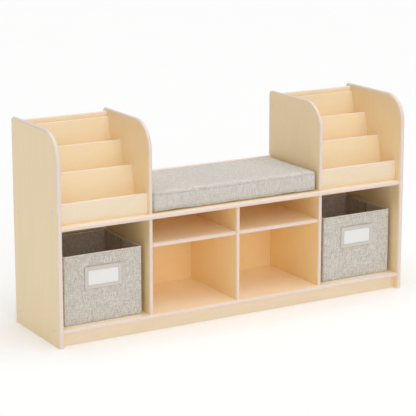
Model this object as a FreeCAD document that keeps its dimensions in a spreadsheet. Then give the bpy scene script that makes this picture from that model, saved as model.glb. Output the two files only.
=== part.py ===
import FreeCAD, Part
import math
import os
import Sketcher
from FreeCAD import Placement, Rotation, Vector

# Child-height plywood storage bench, in millimetres.
# Origin: middle of the footprint, on the floor. +X runs along the bench to its right,
# +Y to its back (the open bays face -Y) and +Z up.
# A book-display tower stands at each end, a cushion lies between the towers, and four bays
# lie under the bench board: a fabric bin in each outer bay, a half shelf in each centre bay.

SIZES = {
    # whole unit
    "unit_length": 1220,
    "unit_depth": 312,
    "unit_height": 632,
    "bench_height": 358,        # floor to the top of the bench board
    "floor_height": 51,         # floor to the top of the bottom board
    # boards
    "end_thickness": 15,
    "bench_thickness": 15,
    "board_thickness": 12,
    "display_thickness": 6,
    "front_corner": 85,         # radius of the upright panels' top front corner
    "rear_corner": 12,          # radius of their top rear corner
    "edge_land": 0.3,           # flat left in the middle of a rounded board edge
    # how far each front stands behind the end panels' front
    "bench_setback": 6,
    "floor_setback": 7,
    "upright_setback": 16,
    "shelf_setback": 23,
    "plinth_setback": 23,
    "rail_setback": 28,
    "back_inset": 4,            # lower back's and seat rail's rear faces ahead of the end panels' rear
    "tower_back_inset": 19,     # tower backs' rear faces ahead of the end panels' rear
    # bays and towers
    "shelf_height": 266,        # floor to the top of a half shelf
    "tower_back_drop": 8,
    "back_rail_height": 62,
    "pocket_lip": 62,           # how deep a book pocket is behind the edge in front of it
    "display_angle": 12,        # degrees that a display panel leans back
    "front_display_top": 489,
    "middle_display_top": 552,
    "rear_display_top": 610,
    "front_display_reach": 124,     # end panels' front to a display panel's top front edge
    "middle_display_reach": 197,
    "rear_display_gap": 0.9,        # rear display panel to the tower back behind it
    "ledge_overhang": 3,        # ledge behind the foot of the display panel on it
    # cushion
    "cushion_thickness": 62,
    "cushion_side_gap": 3,
    "cushion_back_gap": 3,
    "cushion_setback": 21,
    "cushion_corner": 12,
    "rest_gap": 0.3,            # under a piece that lifts or slides away
    # bins
    "bin_length": 254,
    "bin_depth": 238,
    "bin_height": 208,
    "bin_wall": 3,
    "bin_floor": 2,
    "bin_corner": 4,
    "bin_setback": 40,
    "left_bin_shift": 3,        # bin's middle to the right of its bay's middle
    "right_bin_shift": 6,
    "base_board_thickness": 3,
    "base_board_gap": 1.5,
    # label holders and their cards
    "label_width": 122,
    "label_height": 67,
    "label_thickness": 2.6,
    "label_drop": 38,           # bin's rim to the top of the label holder
    "label_corner": 4,
    "window_width": 98,
    "window_height": 43,
    "window_drop": 13,          # top of the holder to the top of its window
    "card_overlap": 3.5,        # card behind the window's border
    "card_thickness": 0.8,
    "card_gap": 0.3,
    # fasteners
    "screw_radius": 2.5,
    "screw_length": 45,
    "head_radius": 4.5,
    "head_height": 3,
    "cap_radius": 6,
    "cap_thickness": 1.6,
    "dowel_radius": 3,
    "dowel_length": 24,
    "dowel_seat": 5,            # dowel in the first piece; the rest is in the second
    "pin_radius": 1.5,
    "pin_length": 16,
    "pin_seat": 5,
    "back_screw_radius": 1.75,
    "back_screw_length": 30,
    "back_head_radius": 3.5,
    "back_head_height": 2,
    "bore_gap": 0.1,            # radial gap of a fastener in its hole
    "tip_gap": 1,               # space past a fastener's end
    "fastener_inset": 40,       # end of a board to the nearest fastener
}

doc = FreeCAD.newDocument("storage_bench")
sheet = doc.addObject("Spreadsheet::Sheet", "Sizes")
for row, (alias, size) in enumerate(SIZES.items(), start=1):
    sheet.set(f"A{row}", alias)
    sheet.set(f"B{row}", str(size))
    sheet.setAlias(f"B{row}", alias)
doc.recompute()

# Expressions that several pieces share.
HALF_LENGTH = "Sizes.unit_length / 2"
FRONT = "-Sizes.unit_depth / 2"
REAR = "Sizes.unit_depth / 2"
BOARD = "Sizes.board_thickness"
BAY = "(Sizes.unit_length - 2 * Sizes.end_thickness - 3 * Sizes.board_thickness) / 4"
BAY_HEIGHT = "(Sizes.bench_height - Sizes.bench_thickness - Sizes.floor_height)"
SEAT_WIDTH = f"(2 * ({BAY}) + Sizes.board_thickness)"
BACK_REAR = "(Sizes.unit_depth / 2 - Sizes.back_inset)"
BACK_FRONT = f"({BACK_REAR} - Sizes.board_thickness)"
TOWER_BACK_FRONT = "(Sizes.unit_depth / 2 - Sizes.tower_back_inset - Sizes.board_thickness)"
BENCH_TOP = "Sizes.bench_height"
BENCH_UNDERSIDE = "(Sizes.bench_height - Sizes.bench_thickness)"
FLOOR_TOP = "Sizes.floor_height"
FLOOR_UNDERSIDE = "(Sizes.floor_height - Sizes.board_thickness)"
DISPLAY_DEPTH = "Sizes.display_thickness / cos(Sizes.display_angle)"    # level cut through one
INNER_LEFT = "(-Sizes.unit_length / 2 + Sizes.end_thickness)"
LEFT_DIVIDER = f"({INNER_LEFT} + {BAY})"
CENTRE_DIVIDER = "(-Sizes.board_thickness / 2)"
RIGHT_DIVIDER = f"(-{LEFT_DIVIDER} - Sizes.board_thickness)"
INNER_BAYS = {"left": f"({LEFT_DIVIDER} + {BOARD})", "right": f"({BOARD} / 2)"}
OUTER_BAYS = {"left": INNER_LEFT, "right": f"({RIGHT_DIVIDER} + {BOARD})"}
TOWER_SIDES = {"left": LEFT_DIVIDER, "right": RIGHT_DIVIDER}

DIRECTIONS = {
    "+x": Rotation(Vector(0, 1, 0), 90),
    "-x": Rotation(Vector(0, 1, 0), -90),
    "-y": Rotation(Vector(1, 0, 0), 90),
    "+z": Rotation(),
    "-z": Rotation(Vector(1, 0, 0), 180),
}
corners = {}            # body name -> the expressions of its Placement
screws = []
caps = []
dowels = []
pins = []
back_screws = []


def number(expression):
    return float(sheet.evalExpression(expression))


def moved(point, direction, distance):
    """A point moved along a direction such as "+x"."""
    place = list(point)
    axis = "xyz".index(direction[1])
    place[axis] = f"({place[axis]}) {direction[0]} ({distance})"
    return tuple(place)


# ---------------------------------------------------------------- bodies and their features

def new_body(name, corner):
    body = doc.addObject("PartDesign::Body", name)
    body.Label = name
    corners[name] = corner
    for axis, place in zip("xyz", corner):
        body.setExpression(f"Placement.Base.{axis}", place)
    return body


def new_sketch(body, role, offset=None):
    plane = next(item for item in body.Origin.OriginFeatures if item.Role == role)
    sketch = body.newObject("Sketcher::SketchObject", f"{body.Name}_sketch")
    sketch.AttachmentSupport = (plane, [""])
    sketch.MapMode = "FlatFace"
    if offset:
        sketch.setExpression("AttachmentOffset.Base.z", offset)
    return sketch


def constrain(sketch, kind, *arguments):
    """Add a constraint whose last argument is an expression for its value."""
    *geometry, expression = arguments
    index = sketch.addConstraint(Sketcher.Constraint(kind, *geometry, number(expression)))
    sketch.setExpression(f"Constraints[{index}]", expression)


def draw_rectangle(sketch, width, height, left="0", bottom="0"):
    """A rectangle with its lower left corner at (left, bottom)."""
    low = Vector(number(left), number(bottom), 0)
    high = low + Vector(number(width), number(height), 0)
    outline = [low, Vector(high.x, low.y, 0), high, Vector(low.x, high.y, 0)]
    first = len(sketch.Geometry)
    for start, end in zip(outline, outline[1:] + outline[:1]):
        sketch.addGeometry(Part.LineSegment(start, end), False)
    for side in range(4):
        sketch.addConstraint(Sketcher.Constraint("Coincident", first + side, 2, first + (side + 1) % 4, 1))
    for side in (0, 2):
        sketch.addConstraint(Sketcher.Constraint("Horizontal", first + side))
        sketch.addConstraint(Sketcher.Constraint("Vertical", first + side + 1))
    constrain(sketch, "DistanceX", first, 1, first, 2, width)
    constrain(sketch, "DistanceY", first + 1, 1, first + 1, 2, height)
    constrain(sketch, "DistanceX", -1, 1, first, 1, left)
    constrain(sketch, "DistanceY", -1, 1, first, 1, bottom)


def pad(body, sketch, length):
    feature = body.newObject("PartDesign::Pad", f"{body.Name}_pad")
    feature.Profile = sketch
    feature.setExpression("Length", length)
    doc.recompute()
    return feature


def pocket(body, sketch, depth, along_normal=False):
    """Cut a sketch into the body, against its normal unless along_normal."""
    before = body.Shape.Volume
    feature = body.newObject("PartDesign::Pocket", f"{body.Name}_pocket")
    feature.Profile = sketch
    feature.Reversed = along_normal
    feature.setExpression("Length", depth)
    doc.recompute()
    if body.Shape.Volume >= before:
        raise RuntimeError(f"{feature.Name} removes nothing")
    return feature


def fillet(body, edges, radius):
    base = body.Tip
    feature = body.newObject("PartDesign::Fillet", f"{body.Name}_fillet")
    feature.Base = (base, edges)
    feature.setExpression("Radius", radius)
    doc.recompute()
    return feature


def edges_where(body, wanted):
    """Names of the body's edges whose bounding boxes, in the body's own axes, are wanted."""
    shape = body.Tip.Shape
    return [f"Edge{index}" for index, edge in enumerate(shape.Edges, start=1) if wanted(edge.BoundBox)]


def bullnose(body, side, thickness):
    """Round both long edges of the board's front ("front") or top ("top") face."""
    box = body.Tip.Shape.BoundBox
    longest = max(box.XLength, box.ZLength) if side == "front" else box.XLength

    def wanted(edge):
        on_side = edge.YMax < box.YMin + 0.01 if side == "front" else edge.ZMin > box.ZMax - 0.01
        return on_side and edge.DiagonalLength > longest - 0.01
    fillet(body, edges_where(body, wanted), f"({thickness} - Sizes.edge_land) / 2")


def bore(body, at, direction, radius, depth):
    """A round hole from a point in the unit's axes, along a direction."""
    hole = body.newObject("PartDesign::SubtractiveCylinder", f"{body.Name}_bore")
    hole.Placement = Placement(Vector(), DIRECTIONS[direction])
    for axis, place, corner in zip("xyz", at, corners[body.Name]):
        hole.setExpression(f"Placement.Base.{axis}", f"({place}) - ({corner})")
    hole.setExpression("Radius", f"{radius} + Sizes.bore_gap")
    hole.setExpression("Height", depth)


def cylinder(name, at, direction, radius, length):
    rod = doc.addObject("Part::Cylinder", name)
    rod.Placement = Placement(Vector(), DIRECTIONS[direction])
    for axis, place in zip("xyz", at):
        rod.setExpression(f"Placement.Base.{axis}", place)
    rod.setExpression("Radius", radius)
    rod.setExpression("Height", length)
    return rod


# ---------------------------------------------------------------- fasteners

def screw(name, at, direction, radii, head_height, length):
    """A screw with a round head, which starts at a point."""
    radius, head_radius = radii
    head = cylinder(f"{name}_head", at, direction, head_radius, head_height)
    shank = cylinder(f"{name}_shank", at, direction, radius, length)
    whole = doc.addObject("Part::Fuse", name)
    whole.Base = head
    whole.Tool = shank
    return whole


def screw_together(panel, other, at, direction, panel_thickness):
    """A capped screw through a panel, from a point on its outer face, into another piece."""
    seat = "Sizes.cap_thickness + Sizes.head_height"
    bore(panel, at, direction, "Sizes.cap_radius", seat)
    bore(panel, at, direction, "Sizes.screw_radius", panel_thickness)
    joint = moved(at, direction, panel_thickness)
    reach = f"Sizes.cap_thickness + Sizes.screw_length - {panel_thickness} + Sizes.tip_gap"
    bore(other, joint, direction, "Sizes.screw_radius", reach)
    under_cap = moved(at, direction, "Sizes.cap_thickness")
    screws.append(screw("screw", under_cap, direction, ("Sizes.screw_radius", "Sizes.head_radius"),
                        "Sizes.head_height", "Sizes.screw_length"))
    caps.append(cylinder("cap", at, direction, "Sizes.cap_radius", "Sizes.cap_thickness"))


def peg(group, size, first, second, at, direction):
    """A dowel or pin across the joint of two pieces, from a point on the joint."""
    radius = f"Sizes.{size}_radius"
    seat = f"Sizes.{size}_seat"
    inside = f"Sizes.{size}_length - {seat}"
    back = "-" + direction[1] if direction[0] == "+" else "+" + direction[1]
    bore(first, moved(at, back, f"{seat} + Sizes.tip_gap / 2"), direction, radius,
         f"{seat} + Sizes.tip_gap / 2")
    bore(second, at, direction, radius, f"{inside} + Sizes.tip_gap")
    group.append(cylinder(size, moved(at, back, seat), direction, radius, f"Sizes.{size}_length"))


def group(name, members):
    whole = doc.addObject("Part::Compound", name)
    whole.Label = name
    whole.Links = members
    return whole


# ---------------------------------------------------------------- boards

def upright(name, left, front, foot, thickness, height):
    """An upright panel with a large top front corner and edges rounded all round but the foot."""
    depth = f"{REAR} - ({front})"
    body = new_body(name, (left, front, foot))
    sketch = new_sketch(body, "YZ_Plane")
    wide, high = number(depth), number(height)
    large, small = number("Sizes.front_corner"), number("Sizes.rear_corner")
    front_centre = Vector(large, high - large, 0)
    rear_centre = Vector(wide - small, high - small, 0)
    quarter = math.pi / 2
    axis = Vector(0, 0, 1)
    sketch.addGeometry(Part.LineSegment(Vector(0, 0, 0), Vector(wide, 0, 0)), False)
    sketch.addGeometry(Part.LineSegment(Vector(wide, 0, 0), Vector(wide, rear_centre.y, 0)), False)
    sketch.addGeometry(Part.ArcOfCircle(Part.Circle(rear_centre, axis, small), 0, quarter), False)
    sketch.addGeometry(Part.LineSegment(Vector(rear_centre.x, high, 0), Vector(large, high, 0)), False)
    sketch.addGeometry(Part.ArcOfCircle(Part.Circle(front_centre, axis, large), quarter, 2 * quarter), False)
    sketch.addGeometry(Part.LineSegment(Vector(0, front_centre.y, 0), Vector(0, 0, 0)), False)
    sketch.addConstraint(Sketcher.Constraint("Coincident", 0, 1, -1, 1))
    sketch.addConstraint(Sketcher.Constraint("Coincident", 5, 2, 0, 1))
    sketch.addConstraint(Sketcher.Constraint("Coincident", 0, 2, 1, 1))
    for side in (1, 2, 3, 4):
        sketch.addConstraint(Sketcher.Constraint("Tangent", side, 2, side + 1, 1))
    for level in (0, 3):
        sketch.addConstraint(Sketcher.Constraint("Horizontal", level))
    for plumb in (1, 5):
        sketch.addConstraint(Sketcher.Constraint("Vertical", plumb))
    constrain(sketch, "DistanceX", 0, 1, 0, 2, depth)
    constrain(sketch, "DistanceY", -1, 1, 3, 1, height)
    constrain(sketch, "Radius", 2, "Sizes.rear_corner")
    constrain(sketch, "Radius", 4, "Sizes.front_corner")
    pad(body, sketch, thickness)
    fillet(body, edges_where(body, lambda edge: edge.XLength < 0.01 and edge.ZMax > 0.01),
           f"({thickness} - Sizes.edge_land) / 2")
    return body


def board(name, corner, size, rounded=None):
    """A rectangular board, with its front or top edge rounded."""
    body = new_body(name, corner)
    sketch = new_sketch(body, "XY_Plane")
    draw_rectangle(sketch, size[0], size[1])
    pad(body, sketch, size[2])
    if rounded == "top":
        bullnose(body, "top", size[1])
    elif rounded == "front":
        thickness = size[0] if number(size[0]) < number(size[2]) else size[2]
        bullnose(body, "front", thickness)
    return body


def level_board(name, left, setback, top, length, thickness, rounded="front"):
    """A level board from a setback behind the unit's front to the back panels' rear face."""
    front = f"({FRONT} + {setback})"
    corner = (left, front, f"({top} - {thickness})")
    return board(name, corner, (length, f"{BACK_REAR} - {front}", thickness), rounded)


def build_carcass():
    """End panels, bench and bottom boards, dividers, plinths and the lower back."""
    pieces = {}
    inner_length = "(Sizes.unit_length - 2 * Sizes.end_thickness)"
    for name, left in (("left_end_panel", f"-{HALF_LENGTH}"),
                       ("right_end_panel", f"({HALF_LENGTH} - Sizes.end_thickness)")):
        pieces[name] = upright(name, left, FRONT, "0", "Sizes.end_thickness", "Sizes.unit_height")
    pieces["bench_board"] = level_board("bench_board", INNER_LEFT, "Sizes.bench_setback",
                                        BENCH_TOP, inner_length, "Sizes.bench_thickness")
    pieces["bottom_board"] = level_board("bottom_board", INNER_LEFT, "Sizes.floor_setback",
                                         FLOOR_TOP, inner_length, BOARD)
    front = f"({FRONT} + Sizes.upright_setback)"
    for name, left in (("left_divider", LEFT_DIVIDER), ("centre_divider", CENTRE_DIVIDER),
                       ("right_divider", RIGHT_DIVIDER)):
        pieces[name] = board(name, (left, front, FLOOR_TOP),
                             (BOARD, f"{BACK_FRONT} - {front}", BAY_HEIGHT), "front")
    pieces["lower_back"] = board("lower_back", (INNER_LEFT, BACK_FRONT, FLOOR_TOP),
                                 (inner_length, BOARD, BAY_HEIGHT))
    for name, near in (("front_plinth", f"({FRONT} + Sizes.plinth_setback)"),
                       ("rear_plinth", BACK_FRONT)):
        pieces[name] = board(name, (INNER_LEFT, near, "0"), (inner_length, BOARD, FLOOR_UNDERSIDE))
    return pieces


def build_shelves(pieces):
    front = f"({FRONT} + Sizes.shelf_setback)"
    for hand, left in INNER_BAYS.items():
        name = f"{hand}_half_shelf"
        corner = (left, front, f"(Sizes.shelf_height - {BOARD})")
        pieces[name] = board(name, corner, (BAY, f"{BACK_FRONT} - {front}", BOARD), "front")


def build_seat_rail(pieces):
    left = f"({LEFT_DIVIDER} + {BOARD})"
    pieces["bench_back_rail"] = board("bench_back_rail", (left, BACK_FRONT, BENCH_TOP),
                                      (SEAT_WIDTH, BOARD, "Sizes.back_rail_height"), "top")


REAR_DISPLAY_REACH = f"({TOWER_BACK_FRONT} - {FRONT} - Sizes.rear_display_gap - {DISPLAY_DEPTH})"
DISPLAY_ROWS = {
    "front": ("Sizes.front_display_reach", "Sizes.front_display_top", BENCH_TOP),
    "middle": ("Sizes.middle_display_reach", "Sizes.middle_display_top",
               "(Sizes.front_display_top - Sizes.pocket_lip)"),
    "rear": (REAR_DISPLAY_REACH, "Sizes.rear_display_top",
             "(Sizes.middle_display_top - Sizes.pocket_lip)"),
}


def display_front(row, height):
    """Y of a display panel's front face at a height above the unit's floor."""
    reach, top, _ = DISPLAY_ROWS[row]
    return f"({FRONT} + {reach} - ({top} - {height}) * tan(Sizes.display_angle))"


def display_panel(name, left, row):
    """A thin panel that leans back, with a level foot and a rounded top edge."""
    _, top, foot = DISPLAY_ROWS[row]
    body = new_body(name, (left, display_front(row, foot), foot))
    sketch = new_sketch(body, "YZ_Plane")
    rise = f"({top} - {foot})"
    lean = number(f"{rise} * tan(Sizes.display_angle)")
    depth = number(DISPLAY_DEPTH)
    high = number(rise)
    drop = number("Sizes.display_thickness * sin(Sizes.display_angle)")
    across = number("Sizes.display_thickness * cos(Sizes.display_angle)")
    outline = [Vector(0, 0, 0), Vector(depth, 0, 0), Vector(lean + across, high - drop, 0),
               Vector(lean, high, 0)]
    for start, end in zip(outline, outline[1:] + outline[:1]):
        sketch.addGeometry(Part.LineSegment(start, end), False)
    for side in range(4):
        sketch.addConstraint(Sketcher.Constraint("Coincident", side, 2, (side + 1) % 4, 1))
    sketch.addConstraint(Sketcher.Constraint("Coincident", 0, 1, -1, 1))
    sketch.addConstraint(Sketcher.Constraint("Horizontal", 0))
    sketch.addConstraint(Sketcher.Constraint("Parallel", 1, 3))
    sketch.addConstraint(Sketcher.Constraint("Perpendicular", 2, 3))
    constrain(sketch, "DistanceX", 0, 1, 0, 2, DISPLAY_DEPTH)
    constrain(sketch, "DistanceY", -1, 1, 3, 1, rise)
    constrain(sketch, "DistanceX", -1, 1, 3, 1, f"{rise} * tan(Sizes.display_angle)")
    pad(body, sketch, BAY)
    length = number(BAY)
    fillet(body, edges_where(body, lambda edge: edge.XLength > length - 0.01 and edge.ZMin > high / 2),
           "(Sizes.display_thickness - Sizes.edge_land) / 2")
    return body


def ledge(name, left, row, row_in_front):
    """The floor of a book pocket, between the panel in front and the foot of its own panel."""
    _, _, top = DISPLAY_ROWS[row]
    front = f"({display_front(row_in_front, top)} + {DISPLAY_DEPTH})"
    rear = f"({display_front(row, top)} + {DISPLAY_DEPTH} + Sizes.ledge_overhang)"
    return board(name, (left, front, f"({top} - {BOARD})"), (BAY, f"{rear} - {front}", BOARD))


def build_tower(pieces, hand):
    left = OUTER_BAYS[hand]
    name = f"{hand}_tower_side"
    pieces[name] = upright(name, TOWER_SIDES[hand], f"({FRONT} + Sizes.upright_setback)", BENCH_TOP,
                           BOARD, "(Sizes.unit_height - Sizes.bench_height)")
    name = f"{hand}_tower_back"
    pieces[name] = board(name, (left, TOWER_BACK_FRONT, BENCH_TOP),
                         (BAY, BOARD, f"Sizes.unit_height - Sizes.tower_back_drop - {BENCH_TOP}"), "top")
    name = f"{hand}_front_rail"
    pieces[name] = board(name, (left, f"({FRONT} + Sizes.rail_setback)", BENCH_TOP),
                         (BAY, BOARD, "Sizes.pocket_lip"), "top")
    for row in DISPLAY_ROWS:
        name = f"{hand}_{row}_display"
        pieces[name] = display_panel(name, left, row)
    for row, row_in_front in (("middle", "front"), ("rear", "middle")):
        name = f"{hand}_{row}_ledge"
        pieces[name] = ledge(name, left, row, row_in_front)


# ---------------------------------------------------------------- joints between the boards

def join_ends(pieces):
    """Capped screws through the end panels and the tower sides."""
    near = f"({FRONT} + Sizes.fastener_inset)"
    far = f"({REAR} - Sizes.fastener_inset)"
    back_middle = f"({TOWER_BACK_FRONT} + {BOARD} / 2)"
    back_height = "(Sizes.unit_height - Sizes.tower_back_drop - Sizes.fastener_inset)"
    rail_middle = f"({FRONT} + Sizes.rail_setback + {BOARD} / 2)"
    rail_height = f"({BENCH_TOP} + Sizes.pocket_lip * 2 / 3)"
    bench_middle = "(Sizes.bench_height - Sizes.bench_thickness / 2)"
    floor_middle = f"({FLOOR_TOP} - {BOARD} / 2)"
    for hand, face, inward, outward in (("left", f"-{HALF_LENGTH}", "+x", "-x"),
                                        ("right", HALF_LENGTH, "-x", "+x")):
        panel = pieces[f"{hand}_end_panel"]
        thick = "Sizes.end_thickness"
        for place in (near, far):
            screw_together(panel, pieces["bottom_board"], (face, place, floor_middle), inward, thick)
        screw_together(panel, pieces["bench_board"], (face, far, bench_middle), inward, thick)
        joint = moved((face, near, bench_middle), inward, thick)
        dowel(panel, pieces["bench_board"], joint, inward)
        seat_face = moved((TOWER_SIDES[hand], "0", "0"), "+x", BOARD if hand == "left" else "0")[0]
        for side, start, direction, depth in ((panel, face, inward, thick),
                                              (pieces[f"{hand}_tower_side"], seat_face, outward, BOARD)):
            screw_together(side, pieces[f"{hand}_tower_back"], (start, back_middle, back_height),
                           direction, depth)
            screw_together(side, pieces[f"{hand}_front_rail"], (start, rail_middle, rail_height),
                           direction, depth)


def dowel(first, second, at, direction):
    peg(dowels, "dowel", first, second, at, direction)


def join_carcass(pieces):
    """Dowels between the level boards and what stands on or hangs under them."""
    near = f"({FRONT} + Sizes.fastener_inset)"
    far = f"({BACK_FRONT} - Sizes.fastener_inset)"
    lines = {"left_divider": LEFT_DIVIDER, "centre_divider": CENTRE_DIVIDER, "right_divider": RIGHT_DIVIDER}
    for name, left in lines.items():
        middle = f"({left} + {BOARD} / 2)"
        for place in (near, far):
            dowel(pieces["bottom_board"], pieces[name], (middle, place, FLOOR_TOP), "+z")
            dowel(pieces["bench_board"], pieces[name], (middle, place, BENCH_UNDERSIDE), "-z")
    for hand, left in TOWER_SIDES.items():
        for place in (near, far):
            dowel(pieces["bench_board"], pieces[f"{hand}_tower_side"],
                  (f"({left} + {BOARD} / 2)", place, BENCH_TOP), "+z")
        for share in (0.2, 0.8):
            along = f"({OUTER_BAYS[hand]} + {share} * {BAY})"
            dowel(pieces["bench_board"], pieces[f"{hand}_tower_back"],
                  (along, f"({TOWER_BACK_FRONT} + {BOARD} / 2)", BENCH_TOP), "+z")
    plinth_middles = (f"({FRONT} + Sizes.plinth_setback + {BOARD} / 2)", f"({BACK_FRONT} + {BOARD} / 2)")
    for name, middle in zip(("front_plinth", "rear_plinth"), plinth_middles):
        for share in (-3, -1, 1, 3):
            along = f"({share} * ({BAY} + {BOARD}) / 2)"
            dowel(pieces["bottom_board"], pieces[name], (along, middle, FLOOR_UNDERSIDE), "-z")
    for share in (-1, 0, 1):
        along = f"({share} * ({SEAT_WIDTH} / 2 - Sizes.fastener_inset))"
        dowel(pieces["bench_board"], pieces["bench_back_rail"],
              (along, f"({BACK_FRONT} + {BOARD} / 2)", BENCH_TOP), "+z")


def join_level(piece, left_side, right_side, left, places, height):
    """Dowels at both ends of a level board one bay long."""
    for place in places:
        dowel(left_side, piece, (left, place, height), "+x")
        dowel(right_side, piece, (f"({left} + {BAY})", place, height), "-x")


def join_shelves(pieces):
    near = f"({FRONT} + Sizes.shelf_setback + Sizes.fastener_inset)"
    far = f"({BACK_FRONT} - Sizes.fastener_inset)"
    height = f"(Sizes.shelf_height - {BOARD} / 2)"
    sides = {"left": ("left_divider", "centre_divider"), "right": ("centre_divider", "right_divider")}
    for hand, (left_side, right_side) in sides.items():
        join_level(pieces[f"{hand}_half_shelf"], pieces[left_side], pieces[right_side],
                   INNER_BAYS[hand], (near, far), height)


def join_display(pieces, hand):
    """Dowels in the ledges' ends and pins in the display panels' ends."""
    left = OUTER_BAYS[hand]
    right = f"({left} + {BAY})"
    end_panel, tower_side = pieces[f"{hand}_end_panel"], pieces[f"{hand}_tower_side"]
    left_side, right_side = (end_panel, tower_side) if hand == "left" else (tower_side, end_panel)
    for row, (_, top, foot) in DISPLAY_ROWS.items():
        panel = pieces[f"{hand}_{row}_display"]
        for share in (0.3, 0.75):
            height = f"({foot} + {share} * ({top} - {foot}))"
            place = f"({display_front(row, height)} + {DISPLAY_DEPTH} / 2)"
            peg(pins, "pin", left_side, panel, (left, place, height), "+x")
            peg(pins, "pin", right_side, panel, (right, place, height), "-x")
    for row, row_in_front in (("middle", "front"), ("rear", "middle")):
        top = DISPLAY_ROWS[row][2]
        front = f"({display_front(row_in_front, top)} + {DISPLAY_DEPTH})"
        rear = f"({display_front(row, top)} + {DISPLAY_DEPTH} + Sizes.ledge_overhang)"
        places = [f"({front} + {share} * ({rear} - {front}))" for share in (0.25, 0.75)]
        join_level(pieces[f"{hand}_{row}_ledge"], left_side, right_side, left, places,
                   f"({top} - {BOARD} / 2)")


def join_back(pieces):
    """Small screws through the lower back into the dividers' rear edges."""
    lines = {"left_divider": LEFT_DIVIDER, "centre_divider": CENTRE_DIVIDER, "right_divider": RIGHT_DIVIDER}
    for name, left in lines.items():
        for share in (0.2, 0.8):
            at = (f"({left} + {BOARD} / 2)", BACK_REAR, f"({FLOOR_TOP} + {share} * {BAY_HEIGHT})")
            bore(pieces["lower_back"], at, "-y", "Sizes.back_head_radius", "Sizes.back_head_height")
            bore(pieces["lower_back"], at, "-y", "Sizes.back_screw_radius", BOARD)
            bore(pieces[name], moved(at, "-y", BOARD), "-y", "Sizes.back_screw_radius",
                 f"Sizes.back_screw_length - {BOARD} + Sizes.tip_gap")
            back_screws.append(screw("back_screw", at, "-y",
                                     ("Sizes.back_screw_radius", "Sizes.back_head_radius"),
                                     "Sizes.back_head_height", "Sizes.back_screw_length"))


# ---------------------------------------------------------------- soft pieces and bins

def build_cushion():
    left = f"({LEFT_DIVIDER} + {BOARD} + Sizes.cushion_side_gap)"
    front = f"({FRONT} + Sizes.cushion_setback)"
    depth = f"({BACK_FRONT} - Sizes.cushion_back_gap - {front})"
    length = f"({SEAT_WIDTH} - 2 * Sizes.cushion_side_gap)"
    body = board("cushion", (left, front, f"({BENCH_TOP} + Sizes.rest_gap)"),
                 (length, depth, "Sizes.cushion_thickness"))
    fillet(body, edges_where(body, lambda edge: edge.DiagonalLength > 1), "Sizes.cushion_corner")


def open_box(name, corner):
    """A bin's fabric body: four walls and a floor."""
    body = new_body(name, corner)
    outline = new_sketch(body, "XY_Plane")
    draw_rectangle(outline, "Sizes.bin_length", "Sizes.bin_depth")
    pad(body, outline, "Sizes.bin_height")
    fillet(body, edges_where(body, lambda edge: edge.ZLength > 1), "Sizes.bin_corner")
    hollow = new_sketch(body, "XY_Plane", "Sizes.bin_height")
    draw_rectangle(hollow, "Sizes.bin_length - 2 * Sizes.bin_wall", "Sizes.bin_depth - 2 * Sizes.bin_wall",
                   "Sizes.bin_wall", "Sizes.bin_wall")
    pocket(body, hollow, "Sizes.bin_height - Sizes.bin_floor")
    return body


def label_holder(name, corner):
    """A flat frame on the bin's front, open at its top edge so that the card slides in."""
    body = new_body(name, corner)
    outline = new_sketch(body, "XZ_Plane")
    draw_rectangle(outline, "Sizes.label_width", "Sizes.label_height")
    pad(body, outline, "Sizes.label_thickness")
    fillet(body, edges_where(body, lambda edge: edge.YLength > 1), "Sizes.label_corner")
    border = "(Sizes.label_width - Sizes.window_width) / 2"
    foot = "(Sizes.label_height - Sizes.window_drop - Sizes.window_height)"
    window = new_sketch(body, "XZ_Plane")
    draw_rectangle(window, "Sizes.window_width", "Sizes.window_height", border, foot)
    pocket(body, window, "Sizes.label_thickness", along_normal=True)
    slot = new_sketch(body, "XZ_Plane")
    gap = "(Sizes.card_overlap + Sizes.card_gap)"
    draw_rectangle(slot, f"Sizes.window_width + 2 * {gap}",
                   f"Sizes.window_height + Sizes.window_drop + {gap}", f"{border} - {gap}", f"{foot} - {gap}")
    pocket(body, slot, "Sizes.card_thickness + 2 * Sizes.card_gap", along_normal=True)
    return body


def build_bin(hand):
    middle = f"({OUTER_BAYS[hand]} + {BAY} / 2 + Sizes.{hand}_bin_shift)"
    left = f"({middle} - Sizes.bin_length / 2)"
    front = f"({FRONT} + Sizes.bin_setback)"
    foot = f"({FLOOR_TOP} + Sizes.rest_gap)"
    open_box(f"{hand}_bin_body", (left, front, foot))
    inset = "(Sizes.bin_wall + Sizes.base_board_gap)"
    board(f"{hand}_bin_base_board",
          (f"({left} + {inset})", f"({front} + {inset})", f"({foot} + Sizes.bin_floor + Sizes.rest_gap)"),
          (f"Sizes.bin_length - 2 * {inset}", f"Sizes.bin_depth - 2 * {inset}", "Sizes.base_board_thickness"))
    label_foot = f"({foot} + Sizes.bin_height - Sizes.label_drop - Sizes.label_height)"
    label_holder(f"{hand}_label_holder", (f"({middle} - Sizes.label_width / 2)", front, label_foot))
    window_foot = f"({label_foot} + Sizes.label_height - Sizes.window_drop - Sizes.window_height)"
    board(f"{hand}_label_card",
          (f"({middle} - Sizes.window_width / 2 - Sizes.card_overlap)",
           f"({front} - Sizes.card_gap - Sizes.card_thickness)",
           f"({window_foot} - Sizes.card_overlap)"),
          ("Sizes.window_width + 2 * Sizes.card_overlap", "Sizes.card_thickness",
           "Sizes.window_height + 2 * Sizes.card_overlap"))


# ---------------------------------------------------------------- build, check and write

def check_document():
    for item in doc.Objects:
        if "Invalid" in item.State or "Error" in item.State:
            raise RuntimeError(f"{item.Name}: {item.State}")


def write_nodes():
    os.makedirs("parts", exist_ok=True)
    nodes = [item for item in doc.Objects if item.TypeId in ("PartDesign::Body", "Part::Compound")]
    for node in nodes:
        if node.Shape.isNull() or not node.Shape.isValid() or not node.Shape.Solids:
            raise RuntimeError(f"{node.Label} has no valid solid")
        node.Shape.exportStep(f"parts/{node.Label}.step")
    print(len(nodes), "nodes written")


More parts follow.
